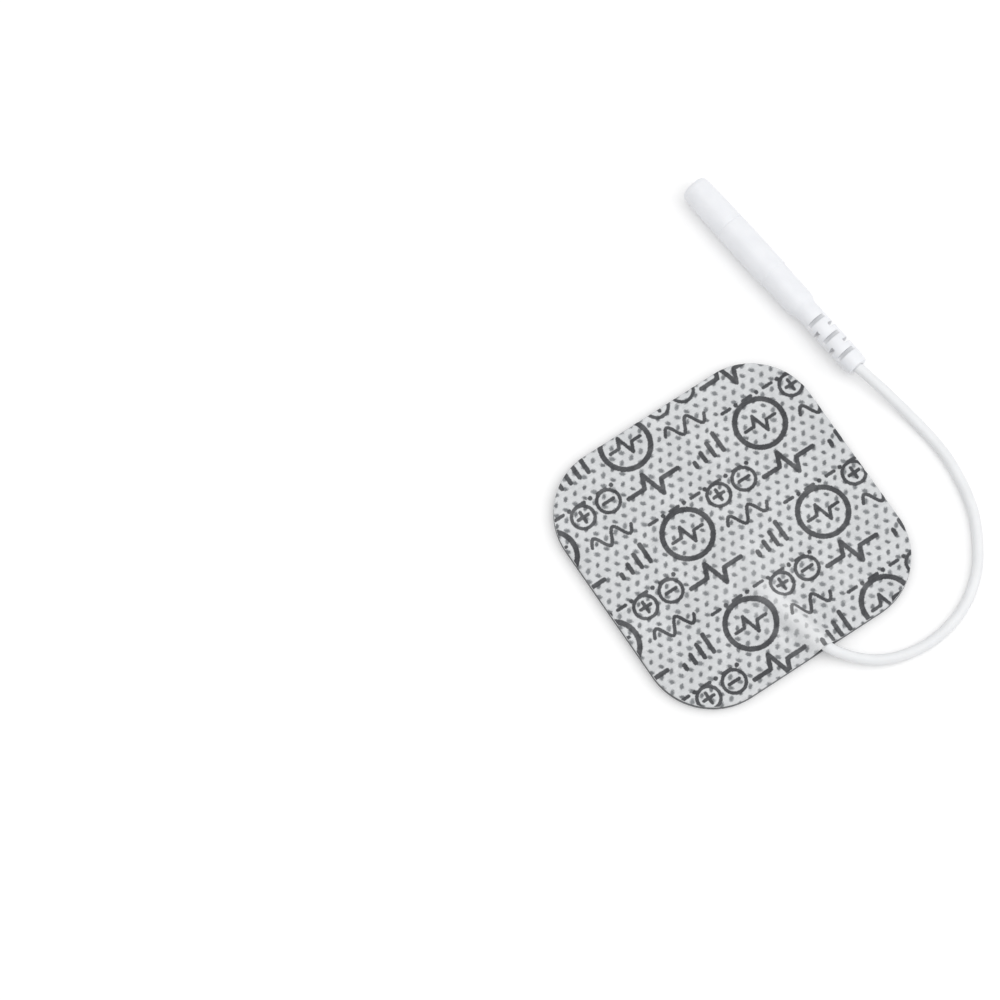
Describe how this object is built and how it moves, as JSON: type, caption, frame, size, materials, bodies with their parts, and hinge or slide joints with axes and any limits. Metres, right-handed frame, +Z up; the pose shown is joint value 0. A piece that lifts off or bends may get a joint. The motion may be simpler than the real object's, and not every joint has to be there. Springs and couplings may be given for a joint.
{
  "type": "tens electrode pad",
  "caption": "Square rounded gel electrode pad with a cloth back, its own thin lead and a moulded 2 mm socket connector with a slotted bend relief.",
  "frame": {"origin": "centre of the pad's gel face, which lies on the surface", "axes": "+Z up out of the cloth; X and Y along the pad's sides; the lead leaves the -Y side"},
  "size_m": [0.0512, 0.0718, 0.0045],
  "materials": {
    "backing_cloth": "thermally bonded non-woven cloth, pale grey, printed",
    "conductive_film": "thin carbon-filled film, matte black",
    "gel_layer": "translucent tacky hydrogel",
    "strand_fan": "bare copper strands",
    "lead_cord": "soft white vinyl jacket, satin",
    "connector_housing": "soft white moulded vinyl, satin",
    "socket_contact": "plated sleeve, bright"
  },
  "bodies": {
    "root": {"backing_cloth": "backing_cloth", "conductive_film": "conductive_film", "gel_layer": "gel_layer", "strand_fan": "strand_fan", "lead_cord": "lead_cord", "connector_housing": "connector_housing", "socket_contact": "socket_contact"}
  },
  "joints": []
}
